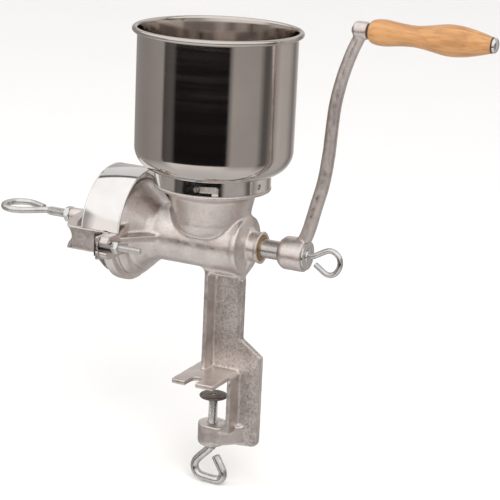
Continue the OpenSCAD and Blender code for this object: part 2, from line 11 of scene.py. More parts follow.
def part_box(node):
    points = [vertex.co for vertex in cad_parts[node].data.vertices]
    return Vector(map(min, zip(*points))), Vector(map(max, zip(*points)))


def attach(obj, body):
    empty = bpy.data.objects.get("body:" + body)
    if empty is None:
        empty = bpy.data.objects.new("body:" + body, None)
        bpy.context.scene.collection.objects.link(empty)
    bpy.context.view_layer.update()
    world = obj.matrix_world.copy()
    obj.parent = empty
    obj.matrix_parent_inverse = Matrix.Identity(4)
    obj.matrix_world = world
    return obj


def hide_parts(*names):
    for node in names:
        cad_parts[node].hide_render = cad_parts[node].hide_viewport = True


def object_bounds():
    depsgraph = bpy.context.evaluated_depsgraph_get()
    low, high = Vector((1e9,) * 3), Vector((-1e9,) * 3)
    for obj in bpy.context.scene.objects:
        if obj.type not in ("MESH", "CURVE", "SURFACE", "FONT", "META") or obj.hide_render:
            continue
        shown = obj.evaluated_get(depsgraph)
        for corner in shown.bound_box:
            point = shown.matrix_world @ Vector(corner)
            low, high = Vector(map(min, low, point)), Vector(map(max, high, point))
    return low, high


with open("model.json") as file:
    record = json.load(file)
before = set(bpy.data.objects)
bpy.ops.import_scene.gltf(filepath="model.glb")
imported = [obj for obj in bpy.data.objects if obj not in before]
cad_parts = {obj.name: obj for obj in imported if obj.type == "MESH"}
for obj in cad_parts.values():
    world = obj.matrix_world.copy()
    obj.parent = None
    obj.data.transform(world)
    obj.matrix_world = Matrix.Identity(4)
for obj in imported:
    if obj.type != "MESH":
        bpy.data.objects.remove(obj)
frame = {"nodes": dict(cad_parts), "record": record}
cad_box = [list(corner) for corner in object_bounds()]
nodes = frame["nodes"]
bodies = frame["record"]["behaviour"]["bodies"]

MM = 0.001
BODY_OF = {node: body for body, members in bodies.items() for node in members}


# ---------------------------------------------------------------- places, from the frame
def span(node):
    """A node's lowest and highest corner in millimetres."""
    low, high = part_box(node)
    return low / MM, high / MM


def middle(node):
    low, high = span(node)
    return (low + high) / 2


AXIS_Z = middle("auger_shaft").z
HOPPER_X = middle("hopper_bowl").x
GRIP_Z = middle("grip").z
BOLT_Y = middle("clamp_nut_rear").y
BOLT_Z = middle("clamp_nut_rear").z
SHANK_X = span("clamp_washer_rear")[0].x

# Edges steeper than this, in degrees, stay sharp: on new pieces and on CAD nodes
SHARP_EDGE = 35.0
SHARP_CAD_EDGE = 32.0
# Waves a millimetre in a casting's coarse and fine unevenness
COARSE_WAVES = 0.16
FINE_WAVES = 0.9


# ---------------------------------------------------------------- mesh helpers
def finish_mesh(name, verts, faces, sharp=SHARP_EDGE):
    """An object from points in millimetres, closed, facing outward and smooth except at sharp edges."""
    mesh = bpy.data.meshes.new(name)
    mesh.from_pydata([Vector(v) * MM for v in verts], [], faces)
    shell = bmesh.new()
    shell.from_mesh(mesh)
    bmesh.ops.remove_doubles(shell, verts=shell.verts, dist=1e-7)
    bmesh.ops.recalc_face_normals(shell, faces=shell.faces)
    shell.to_mesh(mesh)
    shell.free()
    mesh.shade_smooth()
    mesh.set_sharp_from_angle(angle=math.radians(sharp))
    piece = bpy.data.objects.new(name, mesh)
    bpy.context.scene.collection.objects.link(piece)
    return piece


def join(name, parts):
    """One object from several, so that a bent screw is one piece."""
    shell = bmesh.new()
    for part in parts:
        shell.from_mesh(part.data)
        bpy.data.objects.remove(part)
    mesh = bpy.data.meshes.new(name)
    shell.to_mesh(mesh)
    shell.free()
    mesh.set_sharp_from_angle(angle=math.radians(SHARP_EDGE))
    piece = bpy.data.objects.new(name, mesh)
    bpy.context.scene.collection.objects.link(piece)
    return piece


def along(axis, centre, radius, angle, place):
    """A point at a radius and angle round an axis along X or Z, at a place along it."""
    across, up = radius * math.cos(angle), radius * math.sin(angle)
    if axis == "X":
        return (place, centre[1] + across, centre[2] + up)
    return (centre[0] + across, centre[1] + up, place)


def lathe(name, outline, axis, centre, sides=128, arc=(0.0, 360.0), loop=True,
          sharp=SHARP_EDGE):
    """Turns an outline of (radius, place) round an axis. An open outline starts and ends at radius 0."""
    whole = abs(arc[1] - arc[0]) > 359.9
    steps = sides if whole else sides + 1
    angles = [math.radians(arc[0] + (arc[1] - arc[0]) * i / sides) for i in range(steps)]
    verts = [along(axis, centre, r, a, p) for a in angles for r, p in outline]
    count = len(outline)
    faces = []
    for i in range(sides):
        here, there = i * count, ((i + 1) % steps) * count
        for k in range(count if loop else count - 1):
            n = (k + 1) % count
            faces.append((here + k, here + n, there + n, there + k))
    if not whole:
        faces.append(tuple(range(count)))
        faces.append(tuple((steps - 1) * count + k for k in range(count)))
    return finish_mesh(name, verts, faces, sharp)


def arc_points(centre, radius, start, end, steps):
    """(a, b) points of an arc in a plane, with angles in degrees."""
    turn = [math.radians(start + (end - start) * i / steps) for i in range(steps + 1)]
    return [(centre[0] + radius * math.cos(t), centre[1] + radius * math.sin(t)) for t in turn]


def curve_through(points, per_span=10):
    """A smooth path through given points."""
    p = [2 * Vector(points[0]) - Vector(points[1])] + [Vector(q) for q in points]
    p.append(2 * Vector(points[-1]) - Vector(points[-2]))
    path = []
    for i in range(1, len(p) - 2):
        for k in range(per_span):
            t = k / per_span
            path.append(0.5 * ((2 * p[i]) + (p[i + 1] - p[i - 1]) * t
                        + (2 * p[i - 1] - 5 * p[i] + 4 * p[i + 1] - p[i + 2]) * t * t
                        + (3 * p[i] - p[i - 1] - 3 * p[i + 1] + p[i + 2]) * t ** 3))
    path.append(p[-2])
    return path


def sweep(name, path, section, normal, sharp=40.0, dome=0.0):
    """Carries a section along a flat path. section(t) gives (in-plane, normal) offsets."""
    normal = Vector(normal)
    verts, faces = [], []
    last = len(path) - 1
    rings = []
    for i, point in enumerate(path):
        ahead = (path[min(i + 1, last)] - path[max(i - 1, 0)]).normalized()
        side = normal.cross(ahead).normalized()
        rings.append([point + side * a + normal * b for a, b in section(i / last)])
    if dome:
        ahead = (path[last] - path[last - 1]).normalized()
        for turn in (25.0, 50.0, 72.0):
            lift = dome * math.sin(math.radians(turn))
            rings.append([path[last] + ahead * lift
                          + (q - path[last]) * math.cos(math.radians(turn)) for q in rings[last]])
    count = len(rings[0])
    for ring in rings:
        verts.extend(ring)
    for i in range(len(rings) - 1):
        for k in range(count):
            n = (k + 1) % count
            faces.append((i * count + k, i * count + n, (i + 1) * count + n, (i + 1) * count + k))
    faces.append(tuple(range(count)))
    faces.append(tuple((len(rings) - 1) * count + k for k in range(count)))
    return finish_mesh(name, verts, faces, sharp)


def round_section(radius, sides=28):
    ring = [(radius * math.cos(2 * math.pi * k / sides), radius * math.sin(2 * math.pi * k / sides))
            for k in range(sides)]
    return lambda t: ring


def thread(name, axis, centre, start, end, radius, pitch, sides=40, per_turn=6):
    """A threaded rod: the radius follows a vee that climbs one pitch a turn, and fades at both ends."""
    depth = 0.54 * pitch
    fade = 1.2 * pitch
    steps = max(4, int(abs(end - start) / pitch * per_turn))
    verts, faces = [], []
    for i in range(steps + 1):
        place = start + (end - start) * i / steps
        edge = min(abs(place - start), abs(place - end))
        bevel = depth * max(0.0, 1 - edge / fade)
        for k in range(sides):
            angle = 2 * math.pi * k / sides
            phase = (place / pitch - angle / (2 * math.pi)) % 1.0
            vee = depth * abs(2 * phase - 1)
            verts.append(along(axis, centre, radius - max(vee, bevel), angle, place))
    for i in range(steps):
        for k in range(sides):
            n = (k + 1) % sides
            faces.append((i * sides + k, i * sides + n, (i + 1) * sides + n, (i + 1) * sides + k))
    faces.append(tuple(range(sides)))
    faces.append(tuple(steps * sides + k for k in range(sides)))
    return finish_mesh(name, verts, faces, 60.0)


# ---------------------------------------------------------------- cast pieces
def read_points(mesh, what="co"):
    """The places or normals of a mesh's vertices, one row each."""
    rows = np.empty(len(mesh.vertices) * 3)
    mesh.vertices.foreach_get(what, rows)
    return rows.reshape(-1, 3)


def write_points(mesh, points):
    mesh.vertices.foreach_set("co", points.ravel())
    mesh.update()


def voxel_mesh(piece, voxel):
    """Gives a piece one even skin over all its parts. The voxel is in millimetres."""
    remesh = piece.modifiers.new("remesh", "REMESH")
    remesh.mode = "VOXEL"
    remesh.voxel_size = voxel * MM
    solid = piece.evaluated_get(bpy.context.evaluated_depsgraph_get())
    piece.data = bpy.data.meshes.new_from_object(solid)
    piece.modifiers.clear()
    return piece.data


def soften(mesh, rounds, fillet_rounds, fillet_reach, fillet_where):
    """Rounds the edges of a cast mesh, and fills its inner corners where fillet_where says so."""
    hollow_start, hollow_rise = 0.05 * MM, 0.12 * MM
    fade, fill_step, round_step = 0.95, 0.6, 0.5
    count = len(mesh.vertices)
    co = read_points(mesh)
    normals = read_points(mesh, "normal")
    edges = np.empty(len(mesh.edges) * 2, int)
    mesh.edges.foreach_get("vertices", edges)
    a, b = edges.reshape(-1, 2).T
    valence = np.bincount(a, minlength=count) + np.bincount(b, minlength=count)

    def pull(points):
        total = np.zeros_like(points)
        for axis in range(points.shape[1]):
            total[:, axis] = (np.bincount(a, points[b, axis], count)
                              + np.bincount(b, points[a, axis], count))
        return total / valence[:, None] - points

    hollow = np.einsum("ij,ij->i", pull(co), normals)
    weight = np.clip((hollow - hollow_start) / hollow_rise, 0, 1) * fillet_where(co)
    for _ in range(fillet_reach):
        spread = weight.copy()
        np.maximum.at(spread, a, weight[b] * fade)
        np.maximum.at(spread, b, weight[a] * fade)
        weight = spread
    for _ in range(fillet_rounds):
        co = co + pull(co) * fill_step * weight[:, None]
    for _ in range(rounds):
        co = co + pull(co) * round_step
    write_points(mesh, co)


def roughen(mesh, amount):
    """Moves each point along its normal by a casting's unevenness; amount(point) is in millimetres."""
    co = read_points(mesh)
    lifts = np.empty(len(co))
    for i, point in enumerate((co / MM).tolist()):
        p = Vector(point)
        fine, coarse = amount(p)
        lifts[i] = coarse * noise.noise(p * COARSE_WAVES) + fine * noise.noise(p * FINE_WAVES)
    write_points(mesh, co + read_points(mesh, "normal") * (lifts * MM)[:, None])


def cast_copy(sources, voxel, rounds, fillet_rounds=0, fillet_reach=0,
              fillet_where=lambda co: np.ones(len(co)), amount=None):
    """A softened, slightly uneven casting in the shape of one or more CAD nodes."""
    shell = bmesh.new()
    for node in sources:
        shell.from_mesh(nodes[node].data)
    piece = bpy.data.objects.new(sources[0] + "_cast", bpy.data.meshes.new(sources[0] + "_cast"))
    bpy.context.scene.collection.objects.link(piece)
    bmesh.ops.remove_doubles(shell, verts=shell.verts, dist=1e-6)
    shell.to_mesh(piece.data)
    shell.free()
    mesh = voxel_mesh(piece, voxel)
    soften(mesh, rounds, fillet_rounds, fillet_reach, fillet_where)
    if amount:
        roughen(mesh, amount)
    mesh.shade_smooth()
    return piece


# ---------------------------------------------------------------- materials
def math_node(tree, operation, *values):
    node = tree.nodes.new("ShaderNodeMath")
    node.operation = operation
    for socket, value in zip(node.inputs, values):
        if isinstance(value, (int, float)):
            socket.default_value = value
        else:
            tree.links.new(value, socket)
    return node.outputs[0]


def ramp_node(tree, source, stops):
    """A colour ramp. A stop is (place, grey) or (place, (red, green, blue))."""
    node = tree.nodes.new("ShaderNodeValToRGB")
    elements = node.color_ramp.elements
    while len(elements) < len(stops):
        elements.new(0.5)
    for element, (place, colour) in zip(elements, stops):
        element.position = place
        element.color = (*colour, 1) if isinstance(colour, tuple) else (colour,) * 3 + (1,)
    tree.links.new(source, node.inputs["Fac"])
    return node.outputs["Color"]


def mix_node(tree, share, a, b, blend="MIX"):
    """Colours a and b, mixed as far as share says. Each is a socket or a fixed value."""
    node = tree.nodes.new("ShaderNodeMix")
    node.data_type = "RGBA"
    node.blend_type = blend
    for name, value in (("Factor", share), ("A", a), ("B", b)):
        if isinstance(value, (int, float, tuple)):
            node.inputs[name].default_value = value
        else:
            tree.links.new(value, node.inputs[name])
    return node.outputs["Result"]


class Shade:
    """A Principled material and short ways to add detail to it."""

    def __init__(self, name, colour, metallic, roughness, **sockets):
        self.material = bpy.data.materials.new(name)
        self.material.use_nodes = True
        self.tree = self.material.node_tree
        self.shader = self.tree.nodes["Principled BSDF"]
        self.shader.inputs["Base Color"].default_value = (*colour, 1)
        self.shader.inputs["Metallic"].default_value = metallic
        self.shader.inputs["Roughness"].default_value = roughness
        for socket, value in sockets.items():
            self.shader.inputs[socket.replace("_", " ")].default_value = value
        self.place = self.tree.nodes.new("ShaderNodeTexCoord").outputs["Object"]
        self.bump_normal = None

    def link(self, source, target):
        self.tree.links.new(source, target)

    def noise(self, scale, detail=4.0, stretch=(1, 1, 1), roughness=0.55):
        mapping = self.tree.nodes.new("ShaderNodeMapping")
        mapping.inputs["Scale"].default_value = stretch
        self.link(self.place, mapping.inputs["Vector"])
        field = self.tree.nodes.new("ShaderNodeTexNoise")
        field.inputs["Scale"].default_value = scale
        field.inputs["Detail"].default_value = detail
        field.inputs["Roughness"].default_value = roughness
        self.link(mapping.outputs[0], field.inputs["Vector"])
        return field.outputs["Fac"]

    def ramp(self, source, stops):
        return ramp_node(self.tree, source, stops)

    def math(self, operation, *values):
        return math_node(self.tree, operation, *values)

    def times(self, a, b):
        return self.math("MULTIPLY", a, b)

    def multiply(self, a, b, share):
        """Colour a multiplied by colour b, as far as share says."""
        return mix_node(self.tree, share, a, b, "MULTIPLY")

    def box_mask(self, low, high, edge):
        """1 inside a box given in millimetres, falling to 0 over an edge."""
        split = self.tree.nodes.new("ShaderNodeSeparateXYZ")
        self.link(self.place, split.inputs[0])
        mask = 1.0
        for axis in range(3):
            centre, half = (low[axis] + high[axis]) / 2 * MM, (high[axis] - low[axis]) / 2 * MM
            away = self.math("ABSOLUTE", self.math("SUBTRACT", split.outputs[axis], centre))
            inside = self.math("DIVIDE", self.math("SUBTRACT", half, away), edge * MM)
            mask = self.times(mask, self.math("MINIMUM", self.math("MAXIMUM", inside, 0.0), 1.0))
        return mask

    def colour(self, source):
        self.link(source, self.shader.inputs["Base Color"])

    def roughness(self, source, low, high, start=0.3, end=0.7):
        self.link(self.ramp(source, [(start, low), (end, high)]), self.shader.inputs["Roughness"])

    def bump(self, source, strength, distance=0.05):
        node = self.tree.nodes.new("ShaderNodeBump")
        node.inputs["Strength"].default_value = strength
        node.inputs["Distance"].default_value = distance * MM
        self.link(source, node.inputs["Height"])
        if self.bump_normal:
            self.link(self.bump_normal, node.inputs["Normal"])
        self.bump_normal = node.outputs["Normal"]
        self.link(self.bump_normal, self.shader.inputs["Normal"])


def cast_tin():
    """Tinned cast iron: warm satin silver, a little cloudy, with a fine pitted skin; painted shade
    darkens the pits and the recessed front panel.
    """
    shade = Shade("cast_tin", (0.72, 0.68, 0.64), 1.0, 0.36)
    cloudy = shade.ramp(shade.noise(45, 6), [(0.3, (0.66, 0.60, 0.57)), (0.52, (0.80, 0.74, 0.71)),
                                             (0.75, (0.88, 0.83, 0.80))])
    shade.roughness(shade.noise(180, 5), 0.27, 0.46)
    grain = shade.noise(620, 2)
    # The recessed front panel: its rough skin is real bump, and its extra darkening below is painted
    # shade.
    panel = shade.box_mask((-4, 2.6, -64), (41, 9, 87), 2.5)
    # Painted shade: the colour darkens where the grain's bump is low, the pits, and far more on the front
    # panel.
    painted_pit_shade = shade.ramp(grain, [(0.36, 0.45), (0.50, 0.86), (0.62, 1.0)])
    shade.colour(shade.multiply(cloudy, painted_pit_shade, shade.math("MULTIPLY_ADD", panel, 0.75, 0.18)))
    shade.bump(grain, 0.25, 0.10)
    shade.bump(shade.times(grain, panel), 1.0, 0.65)
    shade.bump(shade.noise(1500, 2), 0.22, 0.05)
    return shade.material


def polished_steel():
    """Spun steel: mirror-like, with very fine rings left by the spinning."""
    shade = Shade("polished_steel", (0.60, 0.56, 0.53), 1.0, 0.08)
    shade.colour(shade.ramp(shade.noise(14, 3), [(0.3, (0.55, 0.51, 0.48)), (0.7, (0.64, 0.60, 0.57))]))
    shade.roughness(shade.noise(60, 6, (0.15, 0.15, 6)), 0.05, 0.11)
    shade.bump(shade.noise(500, 3, (0.02, 0.02, 1)), 0.05, 0.02)
    return shade.material


def ring_steel():
    shade = Shade("ring_steel", (0.74, 0.72, 0.70), 1.0, 0.08)
    shade.colour(shade.ramp(shade.noise(60, 4), [(0.3, (0.68, 0.66, 0.64)), (0.7, (0.80, 0.78, 0.76))]))
    shade.roughness(shade.noise(240, 5), 0.05, 0.16)
    shade.bump(shade.noise(900, 2), 0.05, 0.02)
    return shade.material


def guard_chrome():
    """Mirror chrome on rolled sheet: a faint waviness and light rubbing."""
    shade = Shade("guard_chrome", (0.82, 0.81, 0.80), 1.0, 0.05)
    shade.colour(shade.ramp(shade.noise(35, 3), [(0.3, (0.78, 0.77, 0.76)), (0.7, (0.86, 0.85, 0.84))]))
    shade.roughness(shade.noise(300, 6), 0.03, 0.10)
    shade.bump(shade.noise(30, 2), 0.06, 0.2)
    return shade.material


def zinc_wire():
    shade = Shade("zinc_wire", (0.70, 0.70, 0.69), 1.0, 0.22)
    shade.colour(shade.ramp(shade.noise(120, 5), [(0.3, (0.58, 0.58, 0.57)), (0.7, (0.76, 0.76, 0.75))]))
    shade.roughness(shade.noise(400, 5), 0.14, 0.32)
    shade.bump(shade.noise(1400, 3), 0.12, 0.03)
    return shade.material


def plain_steel():
    shade = Shade("plain_steel", (0.58, 0.57, 0.55), 1.0, 0.28)
    shade.colour(shade.ramp(shade.noise(80, 5), [(0.3, (0.48, 0.47, 0.45)), (0.7, (0.66, 0.65, 0.63))]))
    shade.roughness(shade.noise(200, 5, (6, 0.4, 0.4)), 0.20, 0.36)
    shade.bump(shade.noise(900, 3, (4, 0.1, 0.1)), 0.10, 0.03)
    return shade.material


def dark_steel():
    """Dark steel on the T head, with bare metal rubbed through; the shank past SHANK_X is bright."""
    shade = Shade("dark_steel", (0.05, 0.047, 0.045), 0.85, 0.42)
    head = shade.ramp(shade.noise(260, 5), [(0.35, (0.045, 0.040, 0.037)),
                                            (0.6, (0.13, 0.12, 0.11)), (0.8, (0.32, 0.30, 0.28))])
    split = shade.tree.nodes.new("ShaderNodeSeparateXYZ")
    shade.link(shade.place, split.inputs[0])
    along_shank = shade.tree.nodes.new("ShaderNodeMapRange")
    along_shank.inputs["From Min"].default_value = SHANK_X * MM
    along_shank.inputs["From Max"].default_value = (SHANK_X + 0.5) * MM
    shade.link(split.outputs["X"], along_shank.inputs["Value"])
    bright = (0.66, 0.65, 0.63, 1)
    shade.colour(mix_node(shade.tree, along_shank.outputs[0], head, bright))
    shade.roughness(shade.noise(500, 4), 0.26, 0.48)
    shade.bump(shade.noise(1200, 2), 0.2, 0.05)
    return shade.material


def burr_iron():
    shade = Shade("burr_iron", (0.30, 0.29, 0.28), 1.0, 0.5)
    shade.colour(shade.ramp(shade.noise(90, 6), [(0.3, (0.22, 0.21, 0.20)), (0.7, (0.40, 0.39, 0.37))]))
    shade.roughness(shade.noise(300, 5), 0.38, 0.62)
    shade.bump(shade.noise(700, 4), 0.4, 0.12)
    return shade.material


def bronze():
    shade = Shade("bronze", (0.52, 0.33, 0.15), 1.0, 0.38)
    shade.colour(shade.ramp(shade.noise(150, 5), [(0.3, (0.42, 0.26, 0.12)), (0.7, (0.58, 0.38, 0.18))]))
    shade.roughness(shade.noise(600, 3), 0.3, 0.5)
    shade.bump(shade.noise(1500, 2), 0.2, 0.03)
    return shade.material


def pad_iron():
    shade = Shade("pad_iron", (0.20, 0.17, 0.16), 1.0, 0.42)
    shade.colour(shade.ramp(shade.noise(110, 6), [(0.3, (0.15, 0.12, 0.11)), (0.7, (0.30, 0.26, 0.24))]))
    shade.roughness(shade.noise(300, 5), 0.32, 0.55)
    shade.bump(shade.noise(800, 4), 0.3, 0.08)
    return shade.material


def washer_dark():
    shade = Shade("washer_dark", (0.06, 0.045, 0.04), 0.6, 0.4)
    shade.colour(shade.ramp(shade.noise(300, 4), [(0.3, (0.04, 0.03, 0.028)), (0.7, (0.10, 0.08, 0.07))]))
    shade.roughness(shade.noise(500, 3), 0.3, 0.5)
    return shade.material


def grip_wood():
    """Varnished beech: soft bands along the grain, short flecks and a clear coat."""
    shade = Shade("grip_wood", (0.50, 0.25, 0.09), 0.0, 0.42, Coat_Weight=0.8,
                  Coat_Roughness=0.08, Coat_IOR=1.5)
    bands = shade.noise(26, 4, (0.35, 2.2, 2.2), 0.5)
    grain = shade.ramp(bands, [(0.25, (0.30, 0.125, 0.035)), (0.45, (0.46, 0.215, 0.070)),
                               (0.62, (0.54, 0.270, 0.095)), (0.8, (0.36, 0.155, 0.045))])
    flecks = shade.ramp(shade.noise(260, 3, (0.10, 1.6, 1.6)), [(0.40, 0.60), (0.56, 1.0)])
    shade.colour(shade.multiply(grain, flecks, 0.6))
    shade.roughness(shade.noise(120, 4), 0.34, 0.5)
    shade.bump(shade.noise(300, 3, (0.12, 1.5, 1.5)), 0.12, 0.05)
    return shade.material


MATERIALS = {make.__name__: make() for make in (
    cast_tin, polished_steel, ring_steel, guard_chrome, zinc_wire, plain_steel, dark_steel,
    burr_iron, bronze, pad_iron, washer_dark, grip_wood)}
SLOT_OF = {row["node"]: row["material_slot"] for row in frame["record"]["subparts"]}


def dress(node):
    """A CAD node keeps its shape and takes its slot's full material."""
    mesh = nodes[node].data
    for index in range(len(mesh.materials)):
        mesh.materials[index] = MATERIALS[SLOT_OF[node]]
    mesh.shade_smooth()
    mesh.set_sharp_from_angle(angle=math.radians(SHARP_CAD_EDGE))


def replace(piece, *members):
    """The piece takes the place of CAD nodes: it joins their body and takes their slot's material."""
    piece.data.materials.clear()
    piece.data.materials.append(MATERIALS[SLOT_OF[members[0]]])
    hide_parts(*members)
    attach(piece, BODY_OF[members[0]])


# ---------------------------------------------------------------- castings
def body_amount(p):
    """Rough cast panels on the front of the leg and clamp, and a smoother skin elsewhere."""
    panel = -3.0 < p.x < 41 and 3.2 < p.y < 5.2 and -60 < p.z < 86
    return (0.12, 0.15) if panel else (0.06, 0.12)


def body_fillets(co):
    """Full fillets at the throat and barrel, small ones on the leg and clamp."""
    x, height = co[:, 0] / MM, co[:, 2] / MM
    middle_part = (x > -66) & (x < 28)
    upper = (height > 88) & (height < AXIS_Z + 44) & middle_part
    return np.where(upper, 1.0, 0.3)


CASTING = ["body_casting", "throat_casting", "seat_casting"]


def make_body():
    body = cast_copy(CASTING, 0.8, 3, 45, 6, body_fillets, body_amount)
    score_dome(body.data)
    replace(body, *CASTING)


def score_dome(mesh):
    """Two turned grooves round the flange: one where it meets the dome, one short one lower down."""
    seam_x, seam_depth, seam_half = -78.2, 1.5, 1.1
    short_x, short_depth, short_half = -68.5, 1.7, 1.2
    co = read_points(mesh)
    x, y, z = co[:, 0] / MM, co[:, 1] / MM, co[:, 2] / MM - AXIS_Z
    below = np.degrees(np.arctan2(-z, -y))
    radius = np.hypot(y, z)
    seam = seam_depth * np.exp(-((x - seam_x) / seam_half) ** 2) * (radius > 38) * (z < -14)
    arc = np.clip((below - 8) / 8, 0, 1) * np.clip((80 - below) / 10, 0, 1)
    short = short_depth * np.exp(-((x - short_x) / short_half) ** 2) * arc * (radius > 30)
    write_points(mesh, co - read_points(mesh, "normal") * ((seam + short) * MM)[:, None])


def make_bridge():
    bridge = cast_copy(["bridge"], 0.6, 4, 20, 4, amount=lambda p: (0.08, 0.15))
    replace(bridge, "bridge")


# ---------------------------------------------------------------- hopper and guard
def make_hopper():
    low, high = span("hopper_bowl")
    bead, sheet, corner = 2.4, 0.9, 20.0
    rim_r = (high.x - low.x) / 2
    wall_r = rim_r - 2 * bead + sheet / 2
    bead_z = high.z - bead
    curve = (wall_r - corner, low.z + corner)
    outline = [(41.0, low.z)] + arc_points(curve, corner, -90, 0, 24)
    outline += [(wall_r + 0.1, low.z + 60), (wall_r, bead_z - bead * 1.2)]
    outline += arc_points((rim_r - bead, bead_z), bead, -110, 180, 28)
    outline += [(wall_r - sheet, bead_z - bead * 1.2), (wall_r - sheet, low.z + 60)]
    outline += arc_points(curve, corner - sheet, 0, -90, 24) + [(41.0, low.z + sheet)]
    bowl = lathe("hopper_shell", outline, "Z", (HOPPER_X, 0, 0), 192)
    replace(bowl, "hopper_bowl")


def make_guard():
    """The half-round guard: thin sheet with a small bead rolled along each curved edge."""
    low, high = span("guard")
    outer = high.z - AXIS_Z
    sheet, bead = 1.2, 0.9
    start = math.degrees(math.asin((low.z - AXIS_Z) / outer))
    outline = [(outer - sheet, low.x + bead), (outer - sheet, high.x - bead)]
    outline += arc_points((outer - sheet / 2 - 0.2, high.x - bead), bead, -120, 100, 10)
    outline += [(outer, high.x - 2 * bead), (outer, low.x + 2 * bead)]
    outline += arc_points((outer - sheet / 2 - 0.2, low.x + bead), bead, 260, 480, 10)
    shell = lathe("guard_shell", outline, "X", (0, 0, AXIS_Z), 96, (start, 180 - start))
    replace(shell, "guard")


# ---------------------------------------------------------------- crank
def arm_section(t):
    """A pointed oval: the arm's crest and parting line run along its front and back."""
    width, depth = 6.0 - 0.9 * t, 5.2 - 0.5 * t
    ring = []
    for k in range(36):
        a = 2 * math.pi * k / 36
        c, s = math.cos(a), math.sin(a)
        ring.append((width * math.copysign(abs(c) ** 0.92, c), depth * math.copysign(abs(s) ** 1.25, s)))
    return ring


def make_crank():
    hub_low, hub_high = span("crank_arm")
    hub_x, hub_end = hub_low.x, span("crank_washer")[0].x
    head_x = span("grip_spindle")[0].x + 1.6
    head_end = span("grip_washers")[0].x
    hub_r = (hub_high.y - hub_low.y) / 2
    heights = [(73.0, 4.0), (80.5, 18.0), (87.0, 42.0), (92.6, 64.0), (95.8, 88.0), (97.2, 108.0),
               (99.2, 130.0), (104.0, 152.0), (110.5, 172.0), (117.5, GRIP_Z - AXIS_Z - 3.0)]
    path = curve_through([(x, 0, AXIS_Z + z) for x, z in heights], 8)
    arm = sweep("arm", path, arm_section, (0, 1, 0))
    hub = lathe("hub", [(0, hub_x), (10.5, hub_x), (hub_r - 0.8, hub_x + 3.2), (hub_r, hub_x + 5),
                        (hub_r, hub_end - 1), (hub_r - 1, hub_end), (0, hub_end)],
                "X", (0, 0, AXIS_Z), 96, loop=False)
    head_r = 7.2
    head = lathe("head", [(0, head_x), (head_r - 1.6, head_x), (head_r, head_x + 1.6),
                          (head_r, head_end - 1.2), (head_r - 1, head_end), (0, head_end)],
                 "X", (0, 0, GRIP_Z), 64, loop=False)
    crank = join("crank_blend", [arm, hub, head])
    mesh = voxel_mesh(crank, 0.55)
    soften(mesh, 4, 50, 8, lambda co: np.ones(len(co)))
    roughen(mesh, lambda p: (0.05, 0.10))
    face, spot_face_r = hub_end - 0.05, 12.4
    for vertex in mesh.vertices:
        x, y, z = vertex.co / MM
        if x > face and math.hypot(y, z - AXIS_Z) < spot_face_r:
            vertex.co.x = face * MM
    mesh.shade_smooth()
    replace(crank, "crank_arm")


def make_grip():
    low, high = span("grip")
    length = high.x - low.x
    stations = [(0.0, 6.2), (0.012, 8.2), (0.04, 9.7), (0.09, 10.5), (0.15, 10.4), (0.24, 9.3),
                (0.34, 8.5), (0.43, 8.9), (0.53, 10.6), (0.62, 12.1), (0.68, 12.5), (0.76, 12.0),
                (0.85, 10.4), (0.93, 8.4), (1.0, 6.4)]
    path = curve_through([(low.x + length * s, r, 0) for s, r in stations], 6)
    outline = [(3.05, low.x)] + [(p.y, p.x) for p in path] + [(3.05, high.x)]
    grip = lathe("grip_turned", outline, "X", (0, 0, GRIP_Z), 96, sharp=50)
    replace(grip, "grip")


# ---------------------------------------------------------------- screws and nuts
def make_table_screw():
    high = span("table_screw")[1]
    pad_low = span("table_pad")[0].z
    radius = 4.0
    rod = thread("rod", "Z", (0, 0, 0), -70.0, pad_low - 0.3, radius, 1.25)
    neck = lathe("neck", [(0, high.z - 4.0), (2.0, high.z - 4.0), (2.0, high.z - 0.6),
                          (1.4, high.z), (0, high.z)], "Z", (0, 0, 0), 32, loop=False)
    bends = [(0, -66), (-1.2, -69), (-4.0, -72.5), (-12.2, -81), (-15.2, -85.5), (-15.9, -90),
             (-14.2, -94.2), (-10.5, -96.8), (-5.5, -97.7), (5.5, -98.2), (9.6, -96.9),
             (11.9, -93.8), (12.0, -90.0), (10.4, -86.6), (4.4, -76.5)]
    path = curve_through([(x, 0, z) for x, z in bends], 8)
    loop = sweep("loop", path, round_section(3.65), (0, 1, 0), dome=1.0)
    replace(join("table_screw_bent", [rod, neck, loop]), "table_screw")


def make_crank_screw():
    hub_end = span("crank_washer")[0].x
    rod = thread("rod", "X", (0, 0, AXIS_Z), hub_end - 16, 86.5, 2.38, 0.8)
    collar = lathe("collar", [(0, hub_end + 1.5), (6, hub_end + 1.5), (5.6, hub_end + 2.8),
                              (4.2, hub_end + 3.5), (0, hub_end + 3.5)],
                   "X", (0, 0, AXIS_Z), 48, loop=False)
    bends = [(84, 0), (88, 1), (98, 6.4), (102.5, 7.6), (107, 6.2), (110.2, 3.0), (111.4, -1.5),
             (110.7, -6.0), (108, -10.5), (104, -12.9), (100, -12.8), (96.5, -11.0), (89.5, -6.2)]
    path = curve_through([(x, 0, AXIS_Z + z) for x, z in bends], 8)
    loop = sweep("loop", path, round_section(2.4), (0, 1, 0), dome=0.8)
    replace(join("crank_screw_bent", [rod, collar, loop]), "crank_screw")


def make_adjuster():
    high = span("adjusting_screw")[1]
    rod = thread("rod", "X", (0, 0, AXIS_Z), -171, high.x, 3.95, 1.25)
    bends = [(-164, 0), (-173, 0), (-178, -3.2), (-189, -12.3), (-195, -15.2), (-202, -15.7),
             (-209, -12.6), (-213.8, -6.4), (-215.4, 1), (-213, 8), (-207, 12.7), (-200, 14),
             (-193.5, 12.4), (-181, 7)]
    path = curve_through([(x, y, AXIS_Z) for x, y in bends], 8)
    loop = sweep("loop", path, round_section(2.9), (0, 0, 1), dome=0.9)
    replace(join("adjusting_screw_bent", [rod, loop]), "adjusting_screw")


